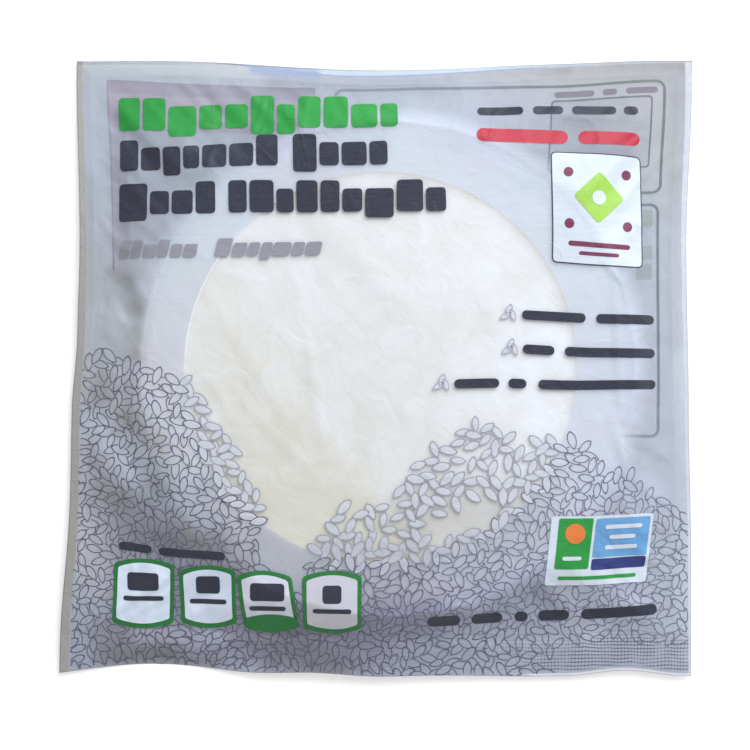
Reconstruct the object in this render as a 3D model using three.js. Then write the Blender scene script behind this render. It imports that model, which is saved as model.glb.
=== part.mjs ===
// A flat film pouch with a stack of round rice paper wrappers sealed in it, lying on its back.
// Two square film panels are heat-sealed to each other along all four sides. The back panel lies
// flat under the stack. The front panel is drawn over the stack's rim and down to the seal, where
// it tents at the sides and falls into a fan of folds at each corner.
// Units are millimetres. +Z is up, +Y points to the top of the printed front, and the origin is on
// the surface that the pouch rests on, under the middle of its outline.

import * as THREE from "three";
import { mergeVertices } from "three/addons/utils/BufferGeometryUtils.js";

// The stack of wrappers.
const SHEET_DIAMETER = 152.4;
const SHEET_COUNT = 28;
const SHEET_PITCH = 0.5; // one dry sheet, with the air that its waviness leaves
const STACK_X = 4; // the stack has slid to the right of the pouch's middle
const STACK_RADIUS = SHEET_DIAMETER / 2;
const STACK_HEIGHT = SHEET_COUNT * SHEET_PITCH;

// The pouch, flat across its cut edges at its widest.
const POUCH_WIDTH = 199;
const POUCH_LENGTH = 194;
const HALF_WIDTH = POUCH_WIDTH / 2;
const HALF_LENGTH = POUCH_LENGTH / 2;
const FILM = 0.1;
const SEAL_THICKNESS = 0.6;
const SEAL_SIDE = 5; // width of the seal along the left and right edges
const SEAL_TOP = 5;
const SEAL_BOTTOM = 11;

// The cut edges. The left one leans in towards the top, and each is drawn in where the film
// climbs over the stack. A dip is where it is deepest along its edge, how deep, and how far it goes.
const LEFT_LEAN = 5.3;
const LEFT_DIPS = [
  { at: 30, depth: 2.9, reach: 75 },
  { at: 0, depth: 0.7, reach: 24 },
  { at: -42, depth: 2.2, reach: 50 },
];
const RIGHT_DIPS = [
  { at: 36, depth: 1.55, reach: 48 },
  { at: -8, depth: 0.8, reach: 45 },
];
const TOP_DIPS = [
  { at: 5, depth: 2.9, reach: 80 },
  { at: -30, depth: 0.5, reach: 60 },
];
const BOTTOM_DIPS = [
  { at: -67, depth: 3.6, reach: 42 },
  { at: -22, depth: 1.4, reach: 26 },
  { at: 22, depth: 0.4, reach: 30 },
  { at: 82, depth: 0.9, reach: 16 },
];

// Heights of the seal's middle above the ground.
const SEAL_RISE_SIDE = 4.6; // halfway along an edge, where both panels are pulled tight
const SEAL_RISE_CORNER = 2.9;
const SEAL_DROOP = 1.3; // how much lower the cut edge is than the seal's inner line
const SEAL_WAVE = 0.7;
const SEAL_WAVES_ROUND = 7;
const CURL = { at: -64, reach: 40, rise: 1.6, droop: 2.9 }; // the bottom seal's left half rolls down

// The film between the rim and the seal.
const MEET_REACH = 55; // the panels meet no further than this from the rim, as they do at the corners
const TENT_SAG = 1.15; // 1 is a straight tent from rim to seal, and more sags
const RIM_ROUND = 0.15; // how softly the film bends over the rim, as a share of the way to the seal
const BACK_EASE = 1.6;

// Folds that fan out from the rim to each corner, by their angle from the corner's diagonal.
const FAN = [
  { turn: -27, height: 0.45, spread: 6 },
  { turn: -15, height: -0.55, spread: 6 },
  { turn: -4, height: 1.05, spread: 7 },
  { turn: 8, height: -0.65, spread: 6 },
  { turn: 18, height: 0.75, spread: 6 },
  { turn: 29, height: -0.3, spread: 5 },
];
const CORNER_TURNS = [
  { angle: 45, twist: 3, strength: 0.8 },
  { angle: 135, twist: -5, strength: 1.0 },
  { angle: 225, twist: 6, strength: 1.35 },
  { angle: 315, twist: -2, strength: 0.9 },
];
// Creases that cross the film at the sides, from one point to another.
const CREASES = [
  { from: [-90, -24], to: [-71, -43], height: 1.2, spread: 5.5 },
  { from: [-88, -12], to: [-70, -36], height: -0.6, spread: 4.5 },
  { from: [-87, 18], to: [-79, 34], height: -1.7, spread: 6 },
  { from: [-62, 62], to: [-82, 84], height: 1.0, spread: 6 },
  { from: [78, -20], to: [92, -36], height: -0.8, spread: 5 },
  { from: [82, -30], to: [90, -48], height: 0.9, spread: 5 },
];
const FLUTE_HEIGHT = 0.3; // short flutes just outside the rim
const FLUTES_ROUND = 44;
const SHEET_RIPPLE = 0.28; // the top sheet isn't quite flat

// The mesh: rings of squares that become circles over the stack.
const STACK_RINGS = 6;
const MARGIN_RINGS = 13;
const SEAL_RINGS = 3;
const RINGS = STACK_RINGS + MARGIN_RINGS + SEAL_RINGS;

const lerp = THREE.MathUtils.lerp;
const clamp = THREE.MathUtils.clamp;

// A raised cosine: 1 at the middle, 0 from reach outwards.
function bump(distance, reach) {
  return Math.abs(distance) < reach ? (1 + Math.cos((Math.PI * distance) / reach)) / 2 : 0;
}

// A crest with straight flanks, rounded off at its foot.
function ridge(distance, reach) {
  return Math.pow(Math.max(0, 1 - Math.abs(distance) / reach), 1.5);
}

function dip(dips, along) {
  return dips.reduce((sum, d) => sum + d.depth * bump(along - d.at, d.reach), 0);
}

// The point of the cut edge for a point (du, dv) on the border of the square from -1 to 1.
function cutEdge(du, dv) {
  const x = du * HALF_WIDTH;
  const y = dv * HALF_LENGTH;
  const left = -HALF_WIDTH + (LEFT_LEAN * (1 + dv)) / 2 + dip(LEFT_DIPS, y);
  const right = HALF_WIDTH - dip(RIGHT_DIPS, y);
  const bottom = -HALF_LENGTH + dip(BOTTOM_DIPS, x);
  const top = HALF_LENGTH - dip(TOP_DIPS, x);
  return new THREE.Vector2(lerp(left, right, (du + 1) / 2), lerp(bottom, top, (dv + 1) / 2));
}

// The same for the seal's inner line.
function sealLine(du, dv) {
  const inset = new THREE.Vector2(du * SEAL_SIDE, dv * (dv > 0 ? SEAL_TOP : SEAL_BOTTOM));
  return cutEdge(du, dv).sub(inset);
}

// The direction from the stack's middle in which a border point lies, in radians.
function turnOf(du, dv) {
  const eighth = Math.PI / 4;
  if (Math.abs(du) >= Math.abs(dv)) return (eighth * dv) / du + (du < 0 ? Math.PI : 0);
  return 2 * eighth - (eighth * du) / dv + (dv < 0 ? Math.PI : 0);
}

// 0 halfway along an edge, 1 at a corner.
function cornerness(du, dv) {
  return Math.pow(Math.min(Math.abs(du), Math.abs(dv)), 2.5);
}

// How strongly the bottom seal rolls down at a border point.
function curl(du, dv) {
  return bump(du * HALF_WIDTH - CURL.at, CURL.reach) * Math.pow(Math.max(0, -dv), 6);
}

function sealHeight(du, dv) {
  const wave = SEAL_WAVE * Math.sin(SEAL_WAVES_ROUND * turnOf(du, dv) + 0.6);
  const rise = lerp(SEAL_RISE_SIDE, SEAL_RISE_CORNER, cornerness(du, dv));
  return rise + wave + CURL.rise * curl(du, dv);
}

// The folds' height at a direction (radians) and a share (0 at the rim, 1 at the seal).
function folds(turn, share) {
  const degrees = THREE.MathUtils.radToDeg(turn);
  let height = 0;
  for (const corner of CORNER_TURNS) {
    for (const fold of FAN) {
      const off = degrees - corner.angle - corner.twist * share - fold.turn * (1 - 0.35 * share);
      const wrapped = THREE.MathUtils.euclideanModulo(off + 180, 360) - 180;
      height += corner.strength * fold.height * ridge(wrapped, fold.spread);
    }
  }
  const flutes = FLUTE_HEIGHT * Math.sin(FLUTES_ROUND * turn) * Math.exp(-4 * share);
  const swell = Math.pow(Math.sin(Math.PI * Math.pow(share, 0.75)), 1.2);
  return height * swell + flutes * Math.sin(Math.PI * share);
}

// The creases' height at a point, fading out where the film meets the rim and the seal.
function creases(point, share) {
  let height = 0;
  for (const crease of CREASES) {
    const start = new THREE.Vector2(...crease.from);
    const run = new THREE.Vector2(...crease.to).sub(start);
    const along = clamp(point.clone().sub(start).dot(run) / run.lengthSq(), 0, 1);
    const away = point.distanceTo(start.addScaledVector(run, along));
    height += crease.height * bump(away, crease.spread);
  }
  return height * clamp(6 * share * (1 - share), 0, 1);
}

function sheetRipple(x, y) {
  const edge = clamp((STACK_RADIUS - Math.hypot(x - STACK_X, y)) / 12, 0, 1);
  return SHEET_RIPPLE * edge * (Math.sin(x / 13 + y / 31) + Math.sin(y / 15 - x / 40 + 1));
}

// The film's point for square coordinates u, v from -1 to 1, on the front or the back panel.
function filmPoint(u, v, front) {
  const ring = Math.max(Math.abs(u), Math.abs(v)) * RINGS;
  const du = ring > 0 ? (u * RINGS) / ring : 1;
  const dv = ring > 0 ? (v * RINGS) / ring : 0;
  const turn = turnOf(du, dv);
  const rim = new THREE.Vector2(Math.cos(turn), Math.sin(turn)).multiplyScalar(STACK_RADIUS);
  rim.x += STACK_X;

  if (ring <= STACK_RINGS) {
    const share = ring / STACK_RINGS;
    const x = lerp(STACK_X, rim.x, share);
    const y = rim.y * share;
    return new THREE.Vector3(x, y, front ? STACK_HEIGHT + 2 * FILM + sheetRipple(x, y) : 0);
  }

  const inner = sealLine(du, dv);
  const height = sealHeight(du, dv);
  const droop = SEAL_DROOP + CURL.droop * curl(du, dv);
  if (ring >= STACK_RINGS + MARGIN_RINGS) {
    const share = (ring - STACK_RINGS - MARGIN_RINGS) / SEAL_RINGS;
    const point = inner.lerp(cutEdge(du, dv), share);
    const middle = height - droop * share;
    return new THREE.Vector3(point.x, point.y, middle + (front ? 0.5 : -0.5) * SEAL_THICKNESS);
  }

  const share = (ring - STACK_RINGS) / MARGIN_RINGS;
  const meet = Math.min(1, MEET_REACH / inner.distanceTo(rim));
  const away = Math.hypot(share, RIM_ROUND) - RIM_ROUND * (1 - share);
  const open = Math.pow(1 - Math.min(1, away / meet), TENT_SAG);
  const gap = lerp(SEAL_THICKNESS, STACK_HEIGHT + 2 * FILM, open);
  const back = (height - SEAL_THICKNESS / 2) * Math.pow(share, BACK_EASE);
  const point = rim.lerp(inner, share);
  const raised = gap + folds(turn, share) + creases(point, share);
  const over = back + Math.max(SEAL_THICKNESS, raised);
  return new THREE.Vector3(point.x, point.y, front ? over : back);
}

// Each square of the grid is split along the diagonal that runs outwards, as the folds do.
function splitOutwards(grid) {
  const places = grid.attributes.position;
  const reach = (i) => Math.hypot(places.getX(i), places.getY(i));
  for (let i = 0; i < grid.index.count; i += 6) {
    const [a, b, c, d] = [0, 1, 4, 5].map((k) => grid.index.getX(i + k));
    if (Math.abs(reach(a) - reach(c)) > Math.abs(reach(b) - reach(d))) {
      [a, b, c, a, c, d].forEach((corner, k) => grid.index.setX(i + k, corner));
    }
  }
}

// A closed box whose upper face is the front panel and whose lower face is the back panel.
function makePouch() {
  const grid = new THREE.BoxGeometry(2, 2, 2, 2 * RINGS, 2 * RINGS, 1);
  grid.deleteAttribute("normal");
  grid.deleteAttribute("uv");
  splitOutwards(grid);
  const places = grid.attributes.position;
  for (let i = 0; i < places.count; i++) {
    const point = filmPoint(places.getX(i), places.getY(i), places.getZ(i) > 0);
    places.setXYZ(i, point.x, point.y, point.z);
  }
  const shell = mergeVertices(grid, 1e-3);
  shell.computeVertexNormals();
  return shell;
}

const film = new THREE.MeshStandardMaterial({ color: 0xc9cedd, roughness: 0.38, metalness: 0 });
const pouch = new THREE.Mesh(makePouch(), film);
pouch.name = "wrapper_pouch";

const part = new THREE.Group();
part.add(pouch);

export default part;
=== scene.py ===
"""A flat film pouch with a stack of round rice paper wrappers sealed in it, lying on its back.

The pouch is two square film panels, heat-sealed to each other along all four sides. The front is
printed with a frosted ground around a clear round window, with piles of rice grains below it.
Sizes are in millimetres, and each finished mesh is scaled to metres.
"""

import math
import random

import bmesh
import bpy
from mathutils import Matrix, Vector, noise
from mathutils.bvhtree import BVHTree


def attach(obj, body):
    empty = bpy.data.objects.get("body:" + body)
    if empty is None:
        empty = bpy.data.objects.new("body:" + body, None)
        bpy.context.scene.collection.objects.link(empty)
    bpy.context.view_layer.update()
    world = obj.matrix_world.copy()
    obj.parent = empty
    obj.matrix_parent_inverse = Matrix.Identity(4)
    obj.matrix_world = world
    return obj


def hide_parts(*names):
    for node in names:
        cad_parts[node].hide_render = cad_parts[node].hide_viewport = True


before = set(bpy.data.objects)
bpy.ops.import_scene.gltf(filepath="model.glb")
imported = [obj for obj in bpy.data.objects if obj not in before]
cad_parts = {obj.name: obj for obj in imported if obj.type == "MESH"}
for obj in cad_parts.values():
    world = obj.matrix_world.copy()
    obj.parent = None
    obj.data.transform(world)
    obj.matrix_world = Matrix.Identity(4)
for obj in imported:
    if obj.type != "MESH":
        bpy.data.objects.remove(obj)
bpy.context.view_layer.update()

MM = 0.001

# The stack of wrappers. The film stands a little above the top one.
SHEET_RADIUS = 76.2
SHEET_COUNT = 28
SHEET_PITCH = 0.475
SHEET_THICKNESS = 0.32
SHEET_TRIM = 0.5
SHEET_EDGE = 0.1
SHEET_SLIP = 0.9
SHEET_WAVE = 0.07
SHEET_RIPPLE = 0.28
STACK_X = 4.0

# The pouch, flat across its cut edges at its widest.
HALF_WIDTH = 199 / 2
HALF_LENGTH = 194 / 2
FILM_TOP = 14.2
FILM = 0.1
SEAL_GAP = 0.14
SEAL_SIDE = 5.0
SEAL_TOP = 5.0
SEAL_BOTTOM = 11.0

# The cut edges, where each dip is (where it is deepest, how deep, how far it goes).
LEFT_LEAN = 5.3
LEFT_DIPS = [(30, 3.05, 75), (4, 0.5, 18), (-43, 1.95, 47)]
RIGHT_DIPS = [(36, 1.55, 48), (-8, 0.8, 45), (97, -0.5, 40)]
TOP_DIPS = [(5, 2.9, 80), (-30, 0.5, 60), (64, 0.5, 30)]
BOTTOM_DIPS = [(-70, 3.75, 46), (-22, 1.4, 26), (22, 0.4, 30), (79, 1.5, 19), (76, 0.35, 30)]

# Heights of the seal's middle, and how the film gets there from the stack's rim.
SEAL_RISE_SIDE = 4.6
SEAL_RISE_CORNER = 2.9
SEAL_DROOP = 1.3
SEAL_WAVE = 0.7
SEAL_WAVES_ROUND = 7
CURL_AT, CURL_REACH, CURL_RISE, CURL_DROOP = -64, 40, 1.6, 4.0
MEET_REACH = 55
TENT = 1.15  # 1 is straight from rim to seal, and over 1 sags
BACK_EASE = 1.6
RIM_ROUND = 0.15  # as a share of the way from rim to seal
TABLE_GAP = 0.12
TABLE_EASE = 0.5

# Folds that fan out to each corner: (turn from the diagonal, height, spread), in degrees and mm.
FAN = [(-27, 0.9, 6), (-15, -1.1, 6), (-4, 2.1, 7), (8, -1.3, 6), (18, 1.5, 6), (29, -0.6, 5)]
FAN_DEPTH = 0.5
CORNERS = [(45, 3, 0.8), (135, -5, 1.0), (225, 6, 1.35), (315, -2, 0.9)]
# Creases across the film: start, end, height and spread.
CREASES = [
    ((-90, -24), (-71, -43), 1.2, 5.5),
    ((-88, -12), (-70, -36), -0.6, 4.5),
    ((-87, 18), (-79, 34), -1.7, 6),
    ((-76, 22), (-72, 40), 0.7, 5),
    ((-62, 62), (-82, 84), 1.0, 6),
    ((74, 30), (76, -16), 0.35, 1.6),
    ((73, -14), (79, -36), 0.45, 1.8),
    ((71, 33), (76, 27), 0.5, 1.6),
    ((78, -20), (92, -36), -0.8, 5),
    ((82, -30), (90, -48), 0.9, 5),
    ((-84, 24), (-76, 10), 0.5, 2.4),
    ((-86, 12), (-78, -2), -0.45, 2.6),
    ((-88, 48), (-80, 40), 0.4, 2.2),
    ((-86, 70), (-74, 60), 0.45, 2.6),
    ((-60, 90), (-50, 78), 0.4, 2.4),
    ((-14, 92), (-8, 80), 0.35, 2.0),
    ((24, 91), (20, 80), 0.3, 1.8),
    ((62, 88), (50, 74), 0.4, 2.6),
    ((84, 62), (76, 50), 0.35, 2.2),
    ((91, 22), (80, 16), -0.35, 2.4),
]
# Creases of the top wrapper, given in the same way, and how fast they fade in the ones under it.
PAPER_FOLD_FADE = 12
PAPER_FOLDS = [
    ((-17, 47), (15, 12), 0.45, 7),
    ((-24, 27), (-16, -24), 0.3, 3),
    ((-52, 24), (-24, -20), 0.3, 3.5),
    ((-57, 6), (-37, -26), 0.25, 3),
    ((-43, -8), (-14, -38), 0.25, 3.5),
    ((-30, 4), (-2, -30), -0.25, 5),
    ((26, 30), (46, 4), 0.2, 6),
]
# Small flutes round the stack's rim, and wider streaks that run out from it.
FLUTE_HEIGHT = 0.3
FLUTES_ROUND = 44
STREAK_HEIGHT = 0.8
STREAKS_ROUND = 22
# The film's soft buckles and its sharp pinches: how far apart they are, which pattern, and how high.
BUCKLES = [(15, 3.1, 0.45), (6, 7.7, 0.32)]
PINCHES = (13, 5.3, 0.42)
SEAL_BUCKLES = 0.35
DEEPEST_DENT = -0.5

# How finely each panel is divided, and where on the way out to the cut edge the stack and seal start.
PANEL_STEPS = 288
STACK_SHARE = 0.55
SEAL_SHARE = 0.92
SIDES = ("left", "right", "top", "bottom")

# The clear window, and the bare strips along three edges.
WINDOW = (1.9, 0.3)
WINDOW_RADIUS = 60.7
BARE_LEFT = 2.7
BARE_LEFT_TAPER = 0.006
BARE_RIGHT = 1.5
BARE_RIGHT_TAPER = 0.008
BARE_TOP = 2.2
BARE_BOTTOM = 0.95
BARE_BOTTOM_START = 46
INK_MARGIN = 0.2

# The grid pressed into the bottom seal: its pitches, and its foot, head and edge over the cut edge.
PRESS_PITCH_ACROSS, PRESS_PITCH_ALONG = 1.04, 1.12
PRESS_FOOT, PRESS_HEAD, PRESS_EDGE = 1.6, 11.6, 14.4
# Where it pressed the print away: under this height, right of this line, give or take this much.
PRESSED_BARE, PRESSED_BARE_START, PRESSED_BARE_RAGGED = 10.6, 52, 16

# Painted shade in the ink: soft dark patches and bands for the shade of the film's folds and slopes and
# its see-through shadows: from, to, reach and tint.
SHADES = [
    ((-84, -5), (-79, -15), 6.5, (216, 208, 188)),
    ((-77, -17), (-67, -22), 7, (242, 238, 230)),
    ((-67, -24), (-66, -36), 7, (240, 236, 230)),
    ((-86, -38), (-80, -42), 6, (212, 204, 190)),
    ((-80, -44), (-66, -55), 9, (222, 216, 214)),
    ((-60, -50), (-42, -62), 10, (238, 232, 214)),
    ((-88, -8), (-88, -30), 5, (224, 222, 224)),
    ((-83, 30), (-77, 27), 4, (204, 200, 194)),
    ((-77, 27), (-73, 19), 4.5, (218, 216, 214)),
    ((-44, -84), (-20, -88), 9, (210, 204, 204)),
    ((-31, -92), (-12, -95), 8, (160, 154, 158)),
    ((-12, -73), (18, -73), 6, (224, 222, 226)),
    ((-30, 91), (20, 91), 8, (222, 220, 224)),
    ((-84, -91), (-52, -93), 6.5, (196, 184, 174)),
    ((-86, -83), (-66, -88), 7, (206, 200, 196)),
    ((-78, -52), (-48, -54), 7, (218, 214, 214)),
    ((-30, -79), (0, -88), 10, (202, 200, 204)),
    ((-4, -78), (26, -78), 6, (222, 220, 222)),
    ((-34, 76), (0, 77), 10, (238, 236, 238)),
    ((24, 92), (60, 94), 3.5, (220, 216, 214)),
    ((-90, 58), (-88, 22), 6, (234, 232, 228)),
    ((-74, 19), (-74, 4), 4.5, (224, 222, 218)),
    ((-62, -64), (-38, -66), 4.5, (220, 217, 220)),
    ((-38, -88), (-10, -89), 6.5, (188, 185, 190)),
    ((-20, -93.5), (-4, -93.5), 5, (192, 188, 192)),
    ((-86, -89), (-64, -90), 6, (204, 199, 195)),
    ((-31, -75), (-24, -88), 6, (214, 212, 216)),
    ((95, 60), (95, 8), 5, (216, 216, 220)),
]
# Painted highlights in the ink: brighter patches where the film catches the light, given in the same way,
# with how strong they are.
LIGHTS = [
    ((-86, -18), (-76, -30), 10, (212, 221, 238), 0.8),
    ((-79, 14), (-80, -10), 8, (208, 214, 226), 0.6),
    ((-92, -52), (-86, -68), 11, (202, 204, 214), 0.55),
    ((-81, 20), (-80, 12), 4.5, (210, 218, 228), 0.5),
    ((-72, 32), (-70, 26), 6, (214, 220, 230), 0.4),
    ((-64, -6), (-56, -28), 11, (222, 226, 238), 0.8),
    ((-46, -40), (-40, -47), 8, (214, 218, 230), 0.6),
    ((66, -36), (86, -38), 11, (200, 210, 238), 0.45),
    ((-74, -84.5), (-48, -84.5), 4, (204, 211, 230), 0.5),
    ((24, -79), (64, -79), 12, (186, 192, 218), 0.35),
    ((26, -84), (56, -84), 6.5, (190, 197, 222), 0.6),
    ((60, -69), (84, -73), 8, (206, 212, 238), 0.75),
    ((62, -68), (69, -86), 8, (204, 208, 232), 0.7),
    ((62, -43), (74, -46), 7, (206, 210, 232), 0.45),
    ((40, -92), (92, -93), 9, (184, 190, 216), 0.25),
]
# A painted blue reflection where the top edge curls over.
CURL_REFLECTION = ((-38, 93.7), (-19, 92.5), 2.9)

# How far the print sags off a straight line along the top, given as the dips are.
PRINT_SAGS = [(-50, 1.3, 48), (14, 0.15, 30), (57, 1.05, 34)]

# Print lies this high over the film, and each further layer this much higher.
INK_LIFT = 0.08
INK_LIFT_BACK = 0.03
INK_LAYER = 0.12
PRINT_WOBBLE = 0.5

# Inks, as the 0 to 255 values of a screen.
GREEN = (18, 140, 48)
DEEP_GREEN = (14, 112, 42)
DARK = (34, 38, 54)
GREY = (138, 140, 150)
PINK = (194, 148, 162)
PALE_PINK = (184, 162, 176)
ROSE = (152, 102, 122)
MAUVE = (104, 72, 98)
SHADOW_GREEN = (0, 66, 36)
RED = (178, 30, 54)
WHITE = (200, 210, 222)
# One white ink, painted darker from the first badge to the last: painted shade towards the bottom's
# middle.
BADGE_WHITES = [(216, 229, 248), (212, 222, 242), (204, 208, 224), (194, 194, 206)]
LIME = (150, 196, 72)
MAROON = (112, 36, 74)
SKY = (96, 152, 204)
NAVY = (30, 44, 112)
ORANGE = (216, 118, 44)
# The grains' line ink, painted darker towards the lower left as shade, and lighter over the window for the
# bright paper behind it.
GRAIN_INK = (103, 105, 127)
GRAIN_INK_SHADED = (81, 82, 104)
GRAIN_INK_IN_WINDOW = (146, 149, 161)
BACK_GREY = (190, 192, 203)
BACK_OLIVE = (168, 178, 162)
BULLET_INK = (156, 157, 174)
# Tones of the finishes. Of a frosted pair, the first is over the papers and the second beyond them.
# The frosted ink is darker towards the bottom and beyond the papers: partly its own gradient, partly
# painted shade.
FROST_UPPER = ((217, 224, 240), (182, 191, 209))
FROST_LOWER = ((160, 163, 189), (144, 148, 181))
FROST_CLOUD = (178, 184, 204)
FROST_HUES = ((249, 255, 251), (255, 252, 255))
# Painted shade along the lines pressed into the bottom seal.
PRESSED_LINE_SHADE = (56, 60, 90)
# The painted blue reflection where the top edge curls over.
CURL_REFLECTION_TINT = (141, 159, 194)
# Bare strips: the left one's darker tone towards the bottom is painted shade, and the top one's blue is a
# painted reflection.
STRIP_LEFT = ((152, 152, 147), (172, 174, 172))
STRIP_RIBS = (188, 190, 188)
STRIP_TOP = ((190, 206, 222), (172, 181, 188))
STRIP_TOP_RIGHT = (152, 156, 162)
STRIP_RIGHT = (202, 208, 220)
STRIP_BOTTOM = (226, 228, 238)
SEAM_BLUE = (128, 152, 190)
WINDOW_FILM = (236, 238, 242)
BACK_FROST = ((181, 186, 196), (197, 201, 210))
GRAIN_FROST = ((200, 203, 214), (214, 217, 227))
PAPER_CREAM, PAPER_WHITE = (203, 202, 192), (227, 231, 242)
# How rough and how shiny the film is, how deep its fine wrinkles are, and the papers' own relief.
FILM_ROUGHNESS = 0.45
SHEEN = 0.3
FILM_RELIEF = 0.6
PAPER_RELIEF = 0.4
MAT_PITCH = 2.7

# Rows of plain marks where words would be: ink, ends of each group, foot, height, turn and slant.
# A mark's usual width, the gap after it, a low one's height and how far one drops, as shares of height.
MARK_WIDTH, MARK_GAP, MARK_LOW, MARK_DROP = 0.78, 0.09, 0.74, 0.2
# How much their widths vary, and what shares of them are tall and drop.
MARK_WIDTHS, MARKS_TALL, MARKS_DROPPED = (0.7, 1.25), 0.22, 0.08
HEADINGS = [
    (GREEN, [(-80.4, 7.1)], 74.4, 10.6, 0.3, 0.0),
    (DARK, [(-80.0, -30.3), (-25.4, 3.7)], 61.6, 9.8, 1.2, 0.0),
    (DARK, [(-80.0, -49.5), (-45.5, 22.0)], 47.8, 9.8, 0.6, 0.0),
    (GREY, [(-79.5, -55.1), (-49.2, -16.7)], 34.2, 5.6, 0.8, 0.25),
]
# The lines of smaller words, as one plain bar for each group.
LINES = [
    (DARK, [(31.9, 46.2), (49.2, 58.6), (61.4, 75.4), (77.8, 82.4)], 79.0, 2.6, 0.6),
    (RED, [(31.7, 60.2), (63.4, 83.0)], 70.6, 4.2, -1.4),
    (DARK, [(45.5, 65.4), (68.6, 86.9)], 15.0, 2.9, -2.2),
    (DARK, [(45.8, 55.6), (58.8, 87.2)], 4.4, 2.9, -1.8),
    (DARK, [(24.5, 38.6), (41.4, 47.0), (50.6, 87.6)], -6.2, 2.9, -0.4),
    (DARK, [(-80.0, -69.4), (-67.2, -46.5)], -56.6, 2.6, -5.2),
    (DARK, [(16.1, 26.6), (30.0, 39.6), (43.4, 47.6), (51.0, 60.8), (64.4, 88.8)], -80.6, 3.4, 2.6),
]
BULLETS = [(41.8, 16.6), (42.4, 5.9), (21.0, -4.6)]

# The nutrition badges: middle, width, height and slant.
BADGES = [
    ((-72.3, -70.3), 19.4, 18.7, 0.05),
    ((-52.0, -71.2), 17.6, 16.5, -0.02),
    ((-33.3, -72.7), 17.2, 16.4, -0.13),
    ((-13.3, -72.7), 18.4, 16.7, 0.0),
]
# How far each badge's bars stand over its middle, and how wide the upper one is, as a share.
BADGE_BARS = [(1.6, 0.52), (1.5, 0.42), (1.1, 0.62), (0.6, 0.32)]
BADGE_RIMS = 2.6
BADGE_WITH_FOOT = 2

# The corners of the back's frame that is open at its foot.
OPEN_FRAME = [(-84.6, 31.0), (-84.6, 90.9), (-19.0, 90.9), (-19.0, 80.0)]

# The printed heaps of grains: the outline of their tops, and how the grains lie in them.
HEAP_TOP = [
    (-99, 1), (-90, 4), (-76, 3), (-71, -1), (-57, -2), (-52, -14), (-42, -27), (-36, -43), (-34, -74),
    (-24, -74), (-19, -55), (-11, -44), (4, -43), (13, -29), (27, -18), (40, -17.5), (45, -26),
    (50, -20.5), (56, -20), (66, -24.5), (73, -32), (80, -33.5), (87, -38), (93, -44.5), (99, -45.5),
]
HEAP_RAGGED = 2.2
HEAP_GAP = ((27.5, -46.5), 15, 4.8, 20)
GRAIN_TRIES = 42000
GRAIN_LENGTH = 5.8
GRAIN_WIDTH = 2.7
GRAIN_LINE = 0.28
GRAIN_TIP = 1.38  # over 1 is a point, 1 a round end
GRAIN_SIZES = (0.86, 1.12)
GRAIN_FULLER = 0.14
GRAIN_TIP_INSET = 1.7
GRAIN_SPACING = 2.7
GRAIN_SPACING_IN_WINDOW = 3.25
BULLET_GRAINS = [(0.5, (-1.3, -0.6)), (1.95, (0.9, -0.3)), (1.2, (-0.3, 1.2))]
BULLET_SIZE = 0.72
GRAIN_STEPS = 16


def lerp(a, b, share):
    return a + (b - a) * share


def clamp(value, low=0.0, high=1.0):
    return max(low, min(high, value))


def bump(distance, reach):
    """A raised cosine: 1 at the middle, 0 from reach outwards."""
    return (1 + math.cos(math.pi * distance / reach)) / 2 if abs(distance) < reach else 0.0


def ridge(distance, reach):
    """A crest with straight flanks, rounded off at its foot."""
    return max(0.0, 1 - abs(distance) / reach) ** 1.5


def dip(dips, along):
    return sum(depth * bump(along - at, reach) for at, depth, reach in dips)


def patchy(x, y, size, pattern):
    """Soft noise from -1 to 1, in patches of about size."""
    return noise.noise((x / size, y / size, pattern))


def left_edge(y):
    return -HALF_WIDTH + LEFT_LEAN * (1 + y / HALF_LENGTH) / 2 + dip(LEFT_DIPS, y)


def right_edge(y):
    return HALF_WIDTH - dip(RIGHT_DIPS, y)


def bottom_edge(x):
    return -HALF_LENGTH + dip(BOTTOM_DIPS, x)


def top_edge(x):
    return HALF_LENGTH - dip(TOP_DIPS, x)


def cut_edge(du, dv):
    """The point of the cut edge for a point on the border of the square from -1 to 1."""
    x, y = du * HALF_WIDTH, dv * HALF_LENGTH
    across = lerp(left_edge(y), right_edge(y), (du + 1) / 2)
    return Vector((across, lerp(bottom_edge(x), top_edge(x), (dv + 1) / 2)))


def seal_line(du, dv):
    return cut_edge(du, dv) - Vector((du * SEAL_SIDE, dv * (SEAL_TOP if dv > 0 else SEAL_BOTTOM)))


def turn_of(du, dv):
    """The direction from the stack's middle in which a border point lies."""
    eighth = math.pi / 4
    if abs(du) >= abs(dv):
        return eighth * dv / du + (math.pi if du < 0 else 0)
    return 2 * eighth - eighth * du / dv + (math.pi if dv < 0 else 0)


def cornerness(du, dv):
    return min(abs(du), abs(dv)) ** 2.5


def curl(du, dv):
    """How strongly the bottom seal rolls down at a border point."""
    return bump(du * HALF_WIDTH - CURL_AT, CURL_REACH) * max(0.0, -dv) ** 6


def seal_height(du, dv):
    wave = SEAL_WAVE * math.sin(SEAL_WAVES_ROUND * turn_of(du, dv) + 0.6)
    return lerp(SEAL_RISE_SIDE, SEAL_RISE_CORNER, cornerness(du, dv)) + wave + CURL_RISE * curl(du, dv)


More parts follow.
